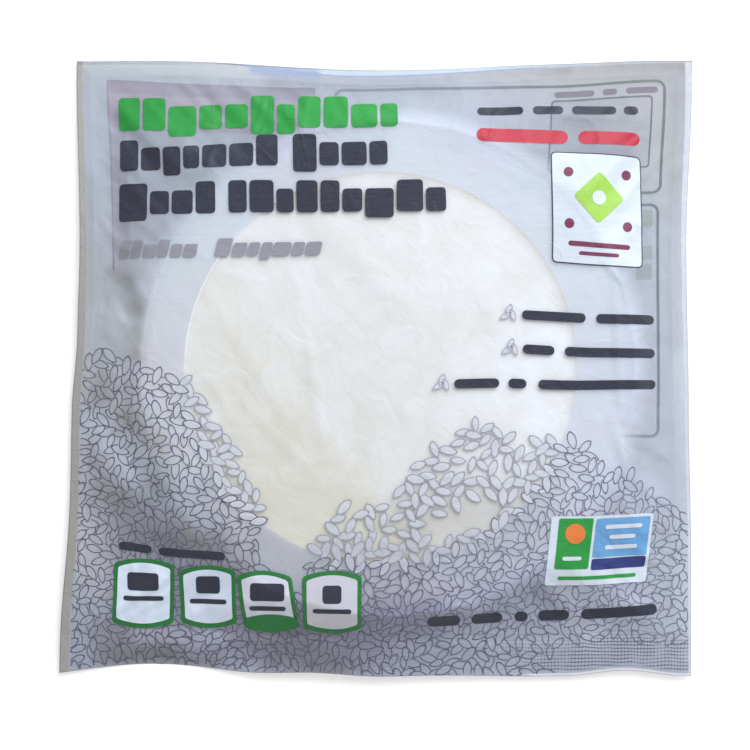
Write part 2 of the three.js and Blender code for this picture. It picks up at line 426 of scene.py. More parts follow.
def folds(turn, share):
    """The folds' height at a direction and a share, 0 at the rim and 1 at the seal."""
    degrees = math.degrees(turn)
    height = 0.0
    for angle, twist, strength in CORNERS:
        for fold_turn, fold_height, spread in FAN:
            off = degrees - angle - twist * share - fold_turn * (1 - 0.35 * share)
            height += strength * fold_height * ridge((off + 180) % 360 - 180, spread)
    flutes = FLUTE_HEIGHT * math.sin(FLUTES_ROUND * turn) * math.exp(-4 * share)
    across = Vector((math.cos(turn), math.sin(turn))) * STREAKS_ROUND
    streaks = STREAK_HEIGHT * noise.noise((across.x, across.y, 1.3 * share))
    swell = math.sin(math.pi * share**0.75) ** 1.2 if 0 < share < 1 else 0.0
    return FAN_DEPTH * height * swell + (flutes + streaks) * max(0.0, math.sin(math.pi * share))


def creased(point, listed):
    """The height that a list of creases gives a point."""
    height = 0.0
    for start, end, rise, spread in listed:
        run = Vector(end) - Vector(start)
        along = clamp((point - Vector(start)).dot(run) / run.length_squared)
        fade = (0.15 + 3.4 * along * (1 - along)) ** 0.5
        height += fade * rise * bump((point - Vector(start) - run * along).length, spread)
    return height


def creases(point, share):
    """The film's single creases, which fade out at the seal."""
    return creased(point, CREASES) * clamp(6 * (1 - share))


def sheet_ripple(x, y):
    edge = clamp((SHEET_RADIUS - math.hypot(x - STACK_X, y)) / 12)
    return SHEET_RIPPLE * edge * (math.sin(x / 13 + y / 31) + math.sin(y / 15 - x / 40 + 1))


def crumple(x, y):
    """The film's own fine, soft buckles."""
    soft = sum(height * patchy(x, y, apart, pattern) for apart, pattern, height in BUCKLES)
    apart, pattern, height = PINCHES
    return soft + height * max(0.0, 1 - 5 * abs(patchy(x, y, apart, pattern))) ** 2


def above_table(height):
    """A seal's height, eased off where it would dip under the table."""
    over = height - TABLE_GAP
    return TABLE_GAP + (over + math.hypot(over, TABLE_EASE)) / 2


def film_point(u, v, front):
    """The film's point for square coordinates from -1 to 1, on the front or the back panel."""
    reach = max(abs(u), abs(v))
    du, dv = (u / reach, v / reach) if reach > 0 else (1.0, 0.0)
    turn = turn_of(du, dv)
    rim = Vector((STACK_X + SHEET_RADIUS * math.cos(turn), SHEET_RADIUS * math.sin(turn)))

    if reach <= STACK_SHARE:
        share = reach / STACK_SHARE
        x, y = lerp(STACK_X, rim.x, share), rim.y * share
        top = FILM_TOP + sheet_ripple(x, y) + max(DEEPEST_DENT, creases(Vector((x, y)), 0.0))
        return Vector((x, y, top if front else FILM))

    inner = seal_line(du, dv)
    height = seal_height(du, dv)
    if reach >= SEAL_SHARE:
        share = (reach - SEAL_SHARE) / (1 - SEAL_SHARE)
        x, y = inner.lerp(cut_edge(du, dv), share)
        middle = height - (SEAL_DROOP + CURL_DROOP * curl(du, dv)) * share
        middle = above_table(middle + SEAL_BUCKLES * crumple(x, y) * share)
        return Vector((x, y, middle + (0.5 if front else -0.5) * SEAL_GAP))

    share = (reach - STACK_SHARE) / (SEAL_SHARE - STACK_SHARE)
    soft = math.hypot(share, RIM_ROUND) - RIM_ROUND * (1 - share)
    meet = min(1.0, MEET_REACH / (inner - rim).length)
    gap = lerp(SEAL_GAP, FILM_TOP, (1 - min(1.0, soft / meet)) ** TENT)
    point = rim.lerp(inner, share)
    back = lerp(FILM, height - SEAL_GAP / 2, share**BACK_EASE)
    if not front:
        return Vector((point.x, point.y, back))
    buckle = crumple(point.x, point.y) * math.sin(math.pi * share) ** 0.5
    raised = gap + folds(turn, share) + creases(point, share) + buckle
    return Vector((point.x, point.y, back + max(SEAL_GAP, raised)))


class Wire:
    """One value in a finish. Sums with it add the Math nodes that work them out."""

    def __init__(self, finish, socket):
        self.finish, self.socket = finish, socket

    def math(self, operation, *values):
        inputs = dict(enumerate(values))
        return self.finish.node("ShaderNodeMath", {"operation": operation}, inputs)

    def __add__(self, other):
        return self.math("ADD", self, other)

    def __sub__(self, other):
        return self.math("SUBTRACT", self, other)

    def __rsub__(self, other):
        return self.math("SUBTRACT", other, self)

    def __mul__(self, other):
        return self.math("MULTIPLY", self, other)

    def __truediv__(self, other):
        return self.math("DIVIDE", self, other)

    def __pow__(self, other):
        return self.math("POWER", self, other)

    __radd__ = __add__
    __rmul__ = __mul__

    def limited(self):
        """Held between 0 and 1."""
        return self.finish.node("ShaderNodeClamp", {}, {"Value": self})

    def at_least(self, low):
        return self.math("MAXIMUM", self, low)

    def at_most(self, high):
        return self.math("MINIMUM", self, high)

    def off_by(self, edge):
        """How far the value is from edge, to either side."""
        return self.math("ABSOLUTE", self - edge)

    def below(self, edge, soft):
        """1 where the value is under edge, 0 over it, with a soft step between."""
        return ((edge - self) / soft + 0.5).limited()

    def above(self, edge, soft):
        return ((self - edge) / soft + 0.5).limited()

    def lines(self, pitch):
        """Evenly spaced lines from 0 to 1, for a value in millimetres."""
        return 0.5 + 0.5 * self.math("SINE", self * (2 * math.pi / pitch))


class Finish:
    """A material, with the few ways in which this object's finishes are put together."""

    def __init__(self, name):
        self.material = bpy.data.materials.new(name)
        self.material.use_nodes = True
        self.tree = self.material.node_tree
        self.tree.nodes.clear()

    def node(self, kind, settings, inputs, output=0):
        made = self.tree.nodes.new(kind)
        for name, value in settings.items():
            setattr(made, name, value)
        for key, value in inputs.items():
            if isinstance(value, Wire):
                self.tree.links.new(value.socket, made.inputs[key])
            else:
                made.inputs[key].default_value = value
        return Wire(self, made.outputs[output]) if len(made.outputs) else None

    def place(self):
        """Where a point is on the object, in millimetres."""
        metres = self.node("ShaderNodeTexCoord", {}, {}, "Object")
        return self.node("ShaderNodeVectorMath", {"operation": "SCALE"}, {0: metres, "Scale": 1 / MM})

    def axes(self, vector):
        return [self.node("ShaderNodeSeparateXYZ", {}, {0: vector}, i) for i in range(3)]

    def vectors(self, operation, first, second, output="Vector"):
        return self.node("ShaderNodeVectorMath", {"operation": operation}, {0: first, 1: second}, output)

    def off_middle(self, place, middle):
        """The way from a middle to a point, seen from above."""
        flat = self.vectors("MULTIPLY", place, (1, 1, 0))
        return self.vectors("SUBTRACT", flat, (*middle, 0))

    def distance(self, place, middle):
        """How far a point is from a middle, seen from above."""
        return self.vectors("LENGTH", self.off_middle(place, middle), (0, 0, 0), "Value")

    def near(self, place, start, end, reach):
        """1 on the line from start to end, seen from above, and softly down to 0 at reach."""
        run = Vector((*end, 0)) - Vector((*start, 0))
        off = self.off_middle(place, start)
        along = self.vectors("DOT_PRODUCT", off, run / run.length_squared, "Value").limited()
        foot = self.node("ShaderNodeVectorMath", {"operation": "SCALE"}, {0: run, "Scale": along})
        away = self.vectors("DISTANCE", off, foot, "Value")
        share = (1 - away / reach).limited()
        return share * share * (3 - 2 * share)

    def measure(self, name, output="Fac"):
        """A value that is stored with the mesh, such as the distance from an edge."""
        return self.node("ShaderNodeAttribute", {"attribute_name": name}, {}, output)

    def mottle(self, vector, size, detail=3.0, twist=0.0):
        """Noise from 0 to 1 whose patches are about size across."""
        inputs = {"Vector": vector, "Scale": 1 / size, "Detail": detail, "Distortion": twist}
        return self.node("ShaderNodeTexNoise", {}, inputs, "Fac")

    def fine_creases(self, vector, size, twist):
        """Thin lines, 1 at their middle, that wander and cross at about size apart."""
        return (1 - self.mottle(vector, size, 1.0, twist).off_by(0.5) * 26).limited()

    def stretched(self, vector, turn, along, across):
        """The place, turned and scaled, so that a pattern on it runs in one direction."""
        inputs = {"Vector": vector, "Rotation": (0, 0, math.radians(turn)), "Scale": (along, across, 1)}
        return self.node("ShaderNodeMapping", {"vector_type": "TEXTURE"}, inputs)

    def blend(self, share, low, high, mode="MIX"):
        """A colour between two, each of them a wire or the 0 to 255 values of a screen."""
        low, high = [tone if isinstance(tone, Wire) else colour(*tone) for tone in (low, high)]
        inputs = {0: share, 6: low, 7: high}
        return self.node("ShaderNodeMix", {"data_type": "RGBA", "blend_type": mode}, inputs, 2)

    def tinted(self, share, tone, tint):
        """A colour multiplied by a tint, as strongly as the share says."""
        return self.blend(share, tone, tint, "MULTIPLY")

    def relief(self, height, depth):
        """A normal from a height, where 1 stands for the depth in millimetres."""
        inputs = {"Height": height, "Distance": depth * MM, "Strength": 1.0}
        return self.node("ShaderNodeBump", {}, inputs)

    def done(self, **inputs):
        """The surface itself. Names are the shader's, with _ for a space."""
        named = {"Specular IOR Level": SHEEN}
        named.update({name.replace("_", " "): value for name, value in inputs.items()})
        surface = self.node("ShaderNodeBsdfPrincipled", {}, named)
        self.node("ShaderNodeOutputMaterial", {}, {"Surface": surface})
        return self.material


def colour(red, green, blue):
    """A colour for a shader from the 0 to 255 values of a screen."""
    def linear(value):
        value /= 255
        return value / 12.92 if value <= 0.04045 else ((value + 0.055) / 1.055) ** 2.4
    return (linear(red), linear(green), linear(blue), 1.0)


def film_wrinkles(finish, place, pressed=0.0):
    """The film's fine buckles, the ribs that its stretching left, and what is pressed into it."""
    crinkle = finish.mottle(place, 10, 3.0, 0.6)
    ribs = finish.mottle(finish.stretched(place, 1, 30, 0.9), 1.0, 2.0)
    patches = finish.mottle(place, 30, 1.0).above(0.52, 0.2)
    sharp = patches * finish.fine_creases(place, 17, 0.8)
    return finish.relief(crinkle + 0.12 * ribs + 0.16 * sharp + 0.12 * pressed, FILM_RELIEF)


class FrontFilm(Finish):
    """The front's finish, with the measures that its colour and its cover are both made from."""

    def __init__(self, name):
        super().__init__(name)
        self.spot = self.place()
        self.x, self.y, _ = self.axes(self.spot)
        self.right_half = self.x.at_least(0)
        measures = [self.measure("from_" + side) for side in SIDES]
        self.from_left, self.from_right, self.from_top, self.from_bottom = measures
        self.from_window = self.distance(self.spot, WINDOW)
        self.from_paper = self.distance(self.spot, (STACK_X, 0))
        self.off_paper = self.from_paper.above(SHEET_RADIUS + 2, 10)
        self.cloud = self.mottle(self.spot, 34, 2.0)


def seal_grid(film):
    """The square grid of lines that the sealing bars pressed into the bottom, 1 on a line."""
    wobble = 1.6 * film.mottle(film.spot, 9, 2.0)
    across = (film.x + wobble).lines(PRESS_PITCH_ACROSS) ** 3
    along = (film.y + wobble).lines(PRESS_PITCH_ALONG) ** 3
    patches = film.mottle(film.spot, 6, 3.0).above(0.48, 0.3)
    firm = film.x.above(50, 24) * (0.6 + 0.4 * patches) + 0.32 * patches
    zone = film.from_bottom.below(PRESS_HEAD, 2.4) * film.from_bottom.above(PRESS_FOOT, 0.8)
    edge = (film.from_bottom + 1.5 * wobble).off_by(PRESS_EDGE).below(0.2, 0.24)
    edge = edge * (0.4 + 0.6 * patches) * film.x.above(0, 60)
    return (zone * firm.limited() * (0.46 * across + 0.84 * along) + 0.5 * edge).limited()


def bare_strips(film):
    """1 on the bare film at the left, the top and the bottom, on all of it, and on the top's seam."""
    x, y = film.x, film.y
    left = (film.from_left + BARE_LEFT_TAPER * y).below(BARE_LEFT, 0.5)
    right = (film.from_right - BARE_RIGHT_TAPER * y).below(BARE_RIGHT, 0.3)
    top_line = film.from_top + 0.017 * film.right_half - 0.06 * (x + 12).at_most(0)
    top = top_line.below(BARE_TOP, 0.3)
    bottom = film.from_bottom.below(BARE_BOTTOM, 0.4) * x.above(BARE_BOTTOM_START, 8)
    seam = top_line.off_by(BARE_TOP).below(0.35, 0.4) * x.below(60, 30)
    return left, top, bottom, (left + right + top + bottom).limited(), seam


def strip_tones(film, left, top, bottom, seam):
    """The bare film's colour: milky at the left and darker towards its foot as painted shade, bluish along
    the top as a painted reflection, and pale at the bottom.
    """
    ribs = film.mottle(film.stretched(film.spot, 0, 9, 0.8), 1.0, 2.0)
    # Darker towards the bottom: painted shade.
    outer = film.blend(((film.y + 30) / 120).limited(), *STRIP_LEFT)
    outer = film.blend(0.25 * ribs, outer, STRIP_RIBS)
    # The bluish top strip: a painted reflection.
    over_top = film.blend(film.x.below(-50, 20), *STRIP_TOP)
    over_top = film.blend(film.x.above(56, 40), over_top, STRIP_TOP_RIGHT)
    strip = film.blend(top, STRIP_RIGHT, over_top)
    strip = film.blend(bottom, strip, STRIP_BOTTOM)
    strip = film.blend(left, strip, outer)
    return film.blend(seam, strip, SEAM_BLUE)


def edge_shades(film):
    """1 where the ink is darker: along the edges at the upper right, and close to the top one."""
    at_top = film.from_top.below(6, 4) * film.x.above(44, 30)
    at_right = film.from_right.below(7.5, 4) * film.y.above(66, 40)
    close = film.from_top.below(3.2, 3) * film.x.above(62, 30)
    return (at_top + at_right).limited(), close


def frosted_ink(film, edge_shade, top_shade, grid):
    """The ink's colour: paler over the papers and towards the top, partly its own tone and partly painted
    shade, with tints, painted shades and painted highlights.
    """
    x, y = film.x, film.y
    corner = film.distance(film.spot, (0, 0)).above(100, 24)
    # Paler towards the top and upper right, eased in the corners: partly the ink's own gradient, partly
    # painted shade of the light's fall.
    upward = ((y + 0.15 * x + 0.3 * film.right_half + 78) / 80 + 0.4 * corner).limited()
    lower = film.blend(film.off_paper, *FROST_LOWER)
    upper = film.blend(film.off_paper, *FROST_UPPER)
    ink = film.blend(0.3 * film.cloud, film.blend(upward, lower, upper), FROST_CLOUD)
    patches = film.mottle(film.spot, 26, 2.0).above(0.5, 0.35)
    ink = film.tinted(1.0, ink, film.blend(patches, *FROST_HUES))
    thin = corner * y.above(35, 40) * x.above(20, 60)
    # A painted warm tone on the shaded left side.
    warm = x.below(-68, 34) * y.below(26, 60) * y.above(-78, 40)
    top_left = film.from_top.below(5.5, 5) * x.below(-10, 40)
    for zone, tint in ((thin, (250, 241, 228)), (warm, (252, 247, 230)), (top_left, (254, 253, 238))):
        ink = film.tinted(zone, ink, tint)
    ink = film.blend(edge_shade, ink, (160, 161, 165))
    ink = film.tinted(top_shade, ink, (218, 215, 215))
    # The painted shades and painted highlights, stored with each point.
    ink = film.tinted(1.0, ink, film.measure("shade", "Color"))
    ink = film.blend(1.0, ink, film.measure("light", "Color"), "ADD")
    # Darker along the pressed lines of the seal: painted shade in their grooves.
    return film.blend(grid, ink, PRESSED_LINE_SHADE)


def window_edge(film):
    """1 in the window, on a painted gleam at the left of its edge, and on a painted shadow of the print's
    edge inside its upper right.
    """
    x, y = film.x, film.y
    window = film.from_window.below(WINDOW_RADIUS, 0.25)
    gleam = film.from_window.off_by(WINDOW_RADIUS).below(0.2, 0.25)
    gleam = gleam * x.below(-40, 16) * y.above(2, 14) * y.below(40, 14)
    # A painted shadow that the print's edge casts on the paper, inside the window's upper right.
    painted_rim_shadow = window * film.from_window.above(WINDOW_RADIUS - 1.4, 2.8) * (x + y).above(40, 50)
    return window, gleam, painted_rim_shadow


def cut_line(film):
    """1 right at the cut edges, and on a wider line at the left end of the top one."""
    nearest = film.from_left.at_most(film.from_right).at_most(film.from_top.at_most(film.from_bottom))
    return (nearest.below(0.3, 0.3) + film.from_top.below(1.2, 0.7) * film.x.below(-56, 30)).limited()


def frosted_film():
    """The front: frosted ink around a clear round window, with bare film along the edges."""
    film = FrontFilm("frosted_film")
    grid = seal_grid(film)
    left, top, bottom, bare, seam = bare_strips(film)
    edge_shade, top_shade = edge_shades(film)
    window, gleam, painted_rim_shadow = window_edge(film)
    # A painted blue reflection along the top edge where it curls over.
    reflection = film.near(film.spot, *CURL_REFLECTION)
    cut = cut_line(film)

    ink = frosted_ink(film, edge_shade, top_shade, grid)
    shown = film.blend(bare, ink, strip_tones(film, left, top, bottom, seam))
    shown = film.blend(reflection, shown, CURL_REFLECTION_TINT)
    shown = film.tinted(cut, shown, (206, 202, 198))
    # The clear window, with a painted highlight at its left edge and a painted shadow inside its upper
    # right.
    for zone, tone in ((window, WINDOW_FILM), (gleam, (240, 243, 252)), (painted_rim_shadow, (206, 200, 184))):
        shown = film.blend(zone, shown, tone)

    rim = (1 - film.from_paper.off_by(SHEET_RADIUS) / 6).limited()
    clearer = film.off_paper * film.x.above(30, 40) * film.y.above(-20, 30)
    cover = 0.46 + 0.04 * film.off_paper + 0.3 * rim + 0.08 * (film.cloud - 0.5)
    cover = cover + 0.26 * grid + 0.2 * edge_shade + 0.1 * top_shade - 0.15 * clearer
    cover = cover + bare * (0.64 + 0.18 * left + 0.14 * bottom + 0.12 * seam - cover)
    cover = cover + 0.18 * reflection + 0.14 * cut * top
    cover = cover + window * (0.08 + 0.24 * painted_rim_shadow - cover)
    cover = cover + gleam * (0.6 - cover)
    return film.done(Base_Color=shown, Alpha=cover, Roughness=FILM_ROUGHNESS,
                     Normal=film_wrinkles(film, film.spot, grid))


def back_film_finish():
    film = Finish("back_film")
    place = film.place()
    cloud = film.mottle(place, 30, 2.0)
    return film.done(Base_Color=film.blend(cloud, *BACK_FROST), Alpha=0.66 + 0.08 * cloud,
                     Roughness=FILM_ROUGHNESS, Normal=film_wrinkles(film, place))


def printed_ink():
    """Solid ink on the film. Each shape of the print holds its own colour."""
    ink = Finish("printed_ink")
    place = ink.place()
    speck = ink.mottle(place, 0.7, 3.0)
    shown = ink.blend(0.06 * speck, ink.measure("ink", "Color"), (196, 202, 218))
    return ink.done(Base_Color=shown, Roughness=0.4 + 0.12 * speck, Normal=film_wrinkles(ink, place))


def frosted_grain():
    """The filling of the printed grains that lie over the window."""
    grain = Finish("frosted_grain")
    place = grain.place()
    speck = grain.mottle(place, 1.2, 3.0)
    _, y, _ = grain.axes(place)
    # Darker towards the bottom: painted shade.
    shown = grain.tinted(y.below(-50, 12), grain.blend(speck, *GRAIN_FROST), (234, 235, 238))
    return grain.done(Base_Color=shown, Alpha=0.78 + 0.1 * (speck - 0.5), Roughness=FILM_ROUGHNESS,
                      Normal=film_wrinkles(grain, place))


def rice_paper(name, streaks):
    """Off-white, with creamy patches, mottling and the weave of its drying mat, and painted shade that
    darkens it towards the lower left.
    """
    paper = Finish(name)
    place = paper.place()
    x, y, _ = paper.axes(place)
    cloud = paper.mottle(place, 30, 4.0, 0.8)
    blotch = paper.mottle(place, 8, 3.0, 0.8)
    streak = paper.mottle(paper.stretched(place, -52, 16, 6), 1.0, 2.0, 1.2)
    # Lighter towards the upper right and darker towards the lower left: painted shade of the light's fall.
    upward = ((x + 1.2 * y + 60) / 120).limited()
    lower_left = ((10 - x - y) / 50).limited()
    streak = lower_left * streak
    # Painted shade: under the top fold, in the lower window, at its left and at its upper right.
    fold = paper.near(place, (-22, 62), (10, 26), 24)
    low = paper.near(place, (-40, -44), (4, -60), 20) + 0.5 * paper.near(place, (-28, -24), (-8, -46), 20)
    tone = 0.46 * upward + 0.8 * (cloud - 0.5) + 0.6 * (blotch - 0.5) + 0.22 * streak + 0.26
    left = paper.near(place, (-50, 22), (-42, -2), 18)
    right = paper.near(place, (8, 48), (34, 24), 26)
    tone = tone - 0.18 * fold - 0.6 * low - 0.3 * left - 0.14 * right
    body = paper.blend(tone.limited(), PAPER_CREAM, PAPER_WHITE)
    # Painted shadow of the printed heaps on the paper beside the gap between them.
    body = paper.tinted(paper.near(place, (14, -46), (44, -44), 17), body, (226, 224, 221))
    mat = (x + y).lines(MAT_PITCH) + (x - y).lines(MAT_PITCH)
    height = 0.012 * mat + streaks * (0.25 * streak + 0.9 * blotch + 1.4 * cloud)
    return paper.done(Base_Color=body, Roughness=0.6, Normal=paper.relief(height, PAPER_RELIEF))


def shown_object(name, bm, finish):
    """A finished mesh, scaled from millimetres to metres, with its material."""
    bmesh.ops.scale(bm, vec=(MM, MM, MM), verts=bm.verts)
    for face in bm.faces:
        face.smooth = True
    mesh = bpy.data.meshes.new(name)
    bm.to_mesh(mesh)
    bm.free()
    mesh.materials.append(finish)
    piece = bpy.data.objects.new(name, mesh)
    bpy.context.scene.collection.objects.link(piece)
    return piece


SOFT_SHADES = [(*place, colour(*tint)) for *place, tint in SHADES]
SOFT_LIGHTS = [(*place, colour(*tint), strength) for *place, tint, strength in LIGHTS]


def nearness(x, y, start, end, reach):
    """1 on the line from start to end, and softly down to 0 at reach."""
    (x0, y0), (x1, y1) = start, end
    if abs(2 * x - x0 - x1) > abs(x1 - x0) + 2 * reach or abs(2 * y - y0 - y1) > abs(y1 - y0) + 2 * reach:
        return 0.0
    run_x, run_y = x1 - x0, y1 - y0
    along = clamp(((x - x0) * run_x + (y - y0) * run_y) / (run_x**2 + run_y**2))
    share = clamp(1 - math.hypot(x - x0 - run_x * along, y - y0 - run_y * along) / reach)
    return share**2 * (3 - 2 * share)


def ink_shading(x, y):
    """What the painted shades and painted highlights multiply the ink by at a point, and what they add."""
    factor, added = [1.0] * 4, [0.0] * 4
    for start, end, reach, tint in SOFT_SHADES:
        share = nearness(x, y, start, end, reach)
        if share:
            factor = [old * lerp(1, new, share) for old, new in zip(factor, tint)]
    for start, end, reach, tint, strength in SOFT_LIGHTS:
        share = strength * nearness(x, y, start, end, reach)
        if share:
            factor = [old * (1 - share) for old in factor]
            added = [lerp(old, new, share) for old, new in zip(added, tint)]
    return factor, added


def store_measures(bm):
    """Stores each point's distances from the cut edges, and the painted shade and highlight of the ink
    there.
    """
    left, right, top, bottom = [bm.verts.layers.float.new("from_" + side) for side in SIDES]
    shade, light = [bm.verts.layers.float_color.new(name) for name in ("shade", "light")]
    for vert in bm.verts:
        x, y, _ = vert.co
        vert[left] = x - left_edge(y)
        vert[right] = right_edge(y) - x
        vert[top] = top_edge(x) - y
        vert[bottom] = y - bottom_edge(x)
        vert[shade], vert[light] = ink_shading(x, y)


def film_panel(front):
    """The front or the back panel, and its surface for the print to be laid on."""
    bm = bmesh.new()
    bmesh.ops.create_grid(bm, x_segments=PANEL_STEPS, y_segments=PANEL_STEPS, size=1)
    flat_map = bm.loops.layers.uv.new("OFBake")
    for face in bm.faces:
        for loop in face.loops:
            loop[flat_map].uv = ((loop.vert.co.x + 1) / 2, (loop.vert.co.y + 1) / 2)
    for vert in bm.verts:
        vert.co = film_point(vert.co.x, vert.co.y, front)
    surface = BVHTree.FromBMesh(bm)
    if front:
        store_measures(bm)
    else:
        bmesh.ops.reverse_faces(bm, faces=bm.faces)
    return bm, surface


def new_print():
    bm = bmesh.new()
    bm.verts.layers.float_color.new("ink")
    return bm


def stamp(bm, verts, ink, layer):
    """Gives flat shapes their ink, and the layer of the print that they are in."""
    tint = bm.verts.layers.float_color["ink"]
    for vert in verts:
        vert[tint] = colour(*ink)
        vert.co.z = layer


def rounded(spot, half_x, half_y, corner):
    """A rectangle's point, drawn in where the rectangle has a round corner."""
    core = Vector((clamp(spot.x, corner - half_x, half_x - corner),
                   clamp(spot.y, corner - half_y, half_y - corner)))
    out = spot - core
    if out.x and out.y:
        out *= max(abs(out.x), abs(out.y)) / out.length
    return core + out


def plate(bm, ink, middle, size, corner, layer=0, turn=0.0, slant=0.0, bulge=0.0, cell=0.8):
    """Adds a rounded rectangle of ink, in small squares that can follow the film."""
    half_x, half_y = size[0] / 2, size[1] / 2
    corner = min(corner, half_x, half_y)
    counts = [max(4, round(length / cell)) for length in size]
    made = bmesh.ops.create_grid(bm, x_segments=counts[0], y_segments=counts[1], size=1)["verts"]
    for vert in made:
        u, v = vert.co.x, vert.co.y
        spot = rounded(Vector((u * half_x, v * half_y)), half_x, half_y, corner)
        spot.y += bulge * v * (1 - u * u)
        spot.x += slant * spot.y
        spot.rotate(Matrix.Rotation(math.radians(turn), 2))
        vert.co = Vector((middle[0] + spot.x, middle[1] + spot.y, 0))
    stamp(bm, made, ink, layer)


def frame_line(bm, ink, middle, size, corner, width):
    """Adds a closed line around a rounded rectangle."""
    half = Vector(size) / 2
    steps = 4 * round((size[0] + size[1]) / 2)
    made = bmesh.ops.create_grid(bm, x_segments=steps, y_segments=1, size=1)["verts"]
    for vert in made:
        turn = math.pi * (vert.co.x + 1) + math.pi / 4
        run = Vector((math.cos(turn), math.sin(turn))) * math.sqrt(2)
        square = Vector((clamp(run.x, -1, 1), clamp(run.y, -1, 1)))
        inset = width * (1 - vert.co.y) / 2
        spot = Vector((square.x * (half.x - inset), square.y * (half.y - inset)))
        vert.co = Vector((*(Vector(middle) + rounded(spot, half.x, half.y, corner)), 0))
    stamp(bm, made, ink, 1)


def lay(bm, surface, lift=INK_LIFT):
    """Lays a flat print on a film panel. What misses the panel is cut away."""
    missed = []
    for vert in bm.verts:
        wobble = PRINT_WOBBLE * Vector([patchy(*vert.co.xy, 26, level) for level in (1, 9)])
        vert.co.x += wobble.x
        vert.co.y += wobble.y
        hit = surface.ray_cast(Vector((vert.co.x, vert.co.y, 60)), Vector((0, 0, -1)))[0]
        if hit is None:
            missed.append(vert)
        else:
            vert.co.z = hit.z + lift + INK_LAYER * vert.co.z
    bmesh.ops.delete(bm, geom=missed, context="VERTS")
    return bm


def marks(bm, ink, groups, foot, height, turn, slant, draw):
    """Adds groups of plain upright blocks, one row of them, where a heading would be."""
    lift = math.tan(math.radians(turn))
    for start, end in groups:
        count = round((end - start) / (MARK_WIDTH * height))
        widths = [draw.uniform(*MARK_WIDTHS) for _ in range(count)]
        gap = MARK_GAP * height
        scale = (end - start - gap * (count - 1)) / sum(widths)
        x = start
        for i, share in enumerate(widths):
            width = share * scale
            tall = height if i == 0 or draw.random() < MARKS_TALL else MARK_LOW * height
            drop = MARK_DROP * height if draw.random() < MARKS_DROPPED else 0
            middle = (x + width / 2, foot + (x - groups[0][0]) * lift + (tall - drop) / 2)
            plate(bm, ink, middle, (width, tall + drop), 0.12 * height, 1, turn, slant, cell=0.7)
            x += width + gap


def bars(bm, ink, groups, foot, height, turn, layer=1):
    """Adds one plain bar for each group of a line."""
    lift = math.tan(math.radians(turn))
    for start, end in groups:
        middle = ((start + end) / 2, foot + ((start + end) / 2 - groups[0][0]) * lift + height / 2)
        plate(bm, ink, middle, (end - start, height), height / 2, layer, turn, cell=0.7)


def headings_and_lines():
    bm = new_print()
    draw = random.Random(11)
    for ink, groups, foot, height, turn, slant in HEADINGS:
        marks(bm, ink, groups, foot, height, turn, slant, draw)
    for ink, groups, foot, height, turn in LINES:
        bars(bm, ink, groups, foot, height, turn)
    return bm


def maker_panel():
    """The white panel at the upper right: a plain lozenge with dots and bars, in a thin frame."""
    bm = new_print()
    turn = -3.5
    plate(bm, DARK, (69.0, 49.4), (28.6, 34.6), 1.5, 1, turn, -0.055)
    plate(bm, WHITE, (69.0, 49.4), (27.9, 33.9), 1.2, 2, turn, -0.055)
    plate(bm, LIME, (69.5, 53.0), (11.5, 11.5), 1.2, 3, turn + 45)
    plate(bm, WHITE, (69.5, 53.0), (4.4, 4.4), 2.2, 4, turn)
    for x, y in ((60.2, 61.0), (78.6, 60.0), (60.0, 45.0), (78.4, 44.2)):
        plate(bm, MAROON, (x, y), (3.0, 3.0), 1.5, 3, turn, cell=0.6)
    plate(bm, MAROON, (69.4, 38.4), (19.5, 1.5), 0.75, 3, turn, cell=0.6)
    plate(bm, MAROON, (69.3, 35.6), (12.5, 1.1), 0.55, 3, turn, cell=0.5)
    return bm


def approval_panel():
    """The coloured panel at the lower right: upright fields with a disc and bars."""
    bm = new_print()
    turn = 1.0
    slant = 0.12
    plate(bm, WHITE, (69.9, -56.2), (32.4, 21.4), 0.7, 1, turn, slant)
    plate(bm, SKY, (76.8, -52.3), (17.6, 12.0), 0.4, 2, turn, slant)
    plate(bm, GREEN, (61.6, -54.1), (10.6, 15.6), 0.4, 2, turn, slant)
    plate(bm, NAVY, (75.9, -60.4), (17.6, 3.4), 0.4, 2, turn, slant)
    plate(bm, ORANGE, (62.0, -51.0), (6.2, 6.2), 3.1, 3, turn, cell=0.6)
    plate(bm, WHITE, (61.0, -58.6), (6.0, 1.2), 0.6, 3, turn, cell=0.5)
    for step, length in enumerate((12.0, 8.6, 10.4)):
        plate(bm, WHITE, (77.4 - 0.4 * step, -49.0 - 3.2 * step), (length, 1.3), 0.65, 3, turn, cell=0.5)
    plate(bm, GREEN, (69.2, -64.6), (25.0, 1.1), 0.55, 2, turn, cell=0.5)
    return bm


def badges():
    """Four white badges with a green rim and a bulging head and foot."""
    bm = new_print()
    for i, (middle, width, height, slant) in enumerate(BADGES):
        x, y = middle
        inside = (width - BADGE_RIMS, height - BADGE_RIMS)
        plate(bm, DEEP_GREEN, middle, (width, height), 0.8, 1, 0.0, slant, bulge=1.8, cell=0.6)
        plate(bm, BADGE_WHITES[i], (x, y + 0.1), inside, 0.4, 2, 0.0, slant, bulge=1.7, cell=0.6)
        lift, share = BADGE_BARS[i]
        y += lift
        plate(bm, DARK, (x, y + 2.3), (share * width, 5.6), 1.1, 3, 0.0, cell=0.6)
        plate(bm, DARK, (x, y - 3.0), (0.66 * width, 1.5), 0.75, 3, 0.0, cell=0.5)
        if i == BADGE_WITH_FOOT:
            foot = (x - slant * height / 2, y - height / 2 + 0.2)
            plate(bm, DEEP_GREEN, foot, (width - 1.0, 3.2), 0.4, 3, 0.0, bulge=1.4, cell=0.6)
    return bm


def heap_top(x):
    """The height up to which the printed heaps reach at x."""
    for (start, low), (end, high) in zip(HEAP_TOP, HEAP_TOP[1:]):
        if start <= x <= end:
            return lerp(low, high, (x - start) / (end - start))
    return -HALF_LENGTH


